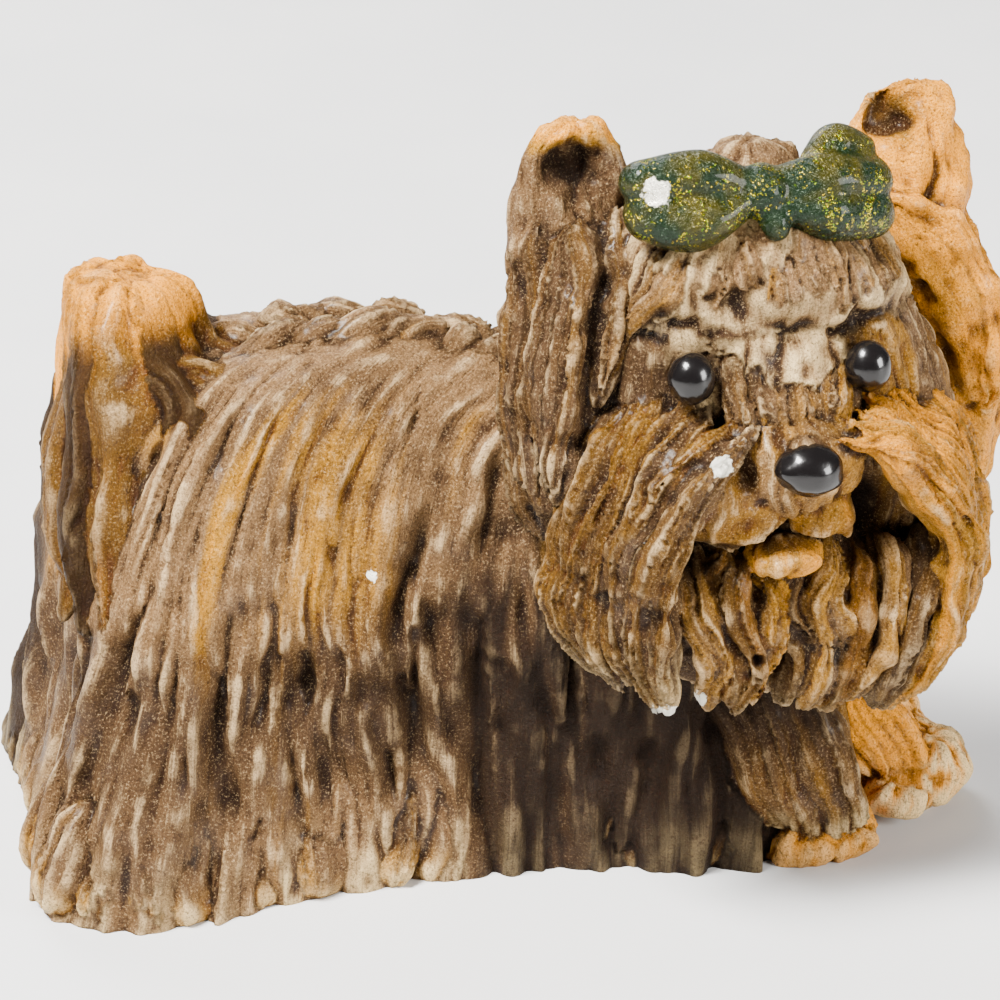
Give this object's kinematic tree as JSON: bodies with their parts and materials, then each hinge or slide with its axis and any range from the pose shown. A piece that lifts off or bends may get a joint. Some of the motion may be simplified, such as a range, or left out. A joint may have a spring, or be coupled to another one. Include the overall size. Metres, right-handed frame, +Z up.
{
  "type": "dog figurine",
  "caption": "Small cast figurine of a standing long-haired terrier with upright ears, a bow on its head and its head turned to the side; stands on the flat underside of its coat.",
  "frame": {"origin": "middle of the footprint box, on the surface that the figurine stands on", "axes": "+X from the rump to the chest, +Y towards the dog's left side, +Z up; the head is turned to face -Y"},
  "size_m": [0.0498, 0.0292, 0.0399],
  "materials": {
    "painted_resin": "satin",
    "bow_paint": "gloss",
    "black_gloss": "gloss"
  },
  "bodies": {
    "root": {"dog_figurine": "painted_resin"}
  },
  "joints": []
}
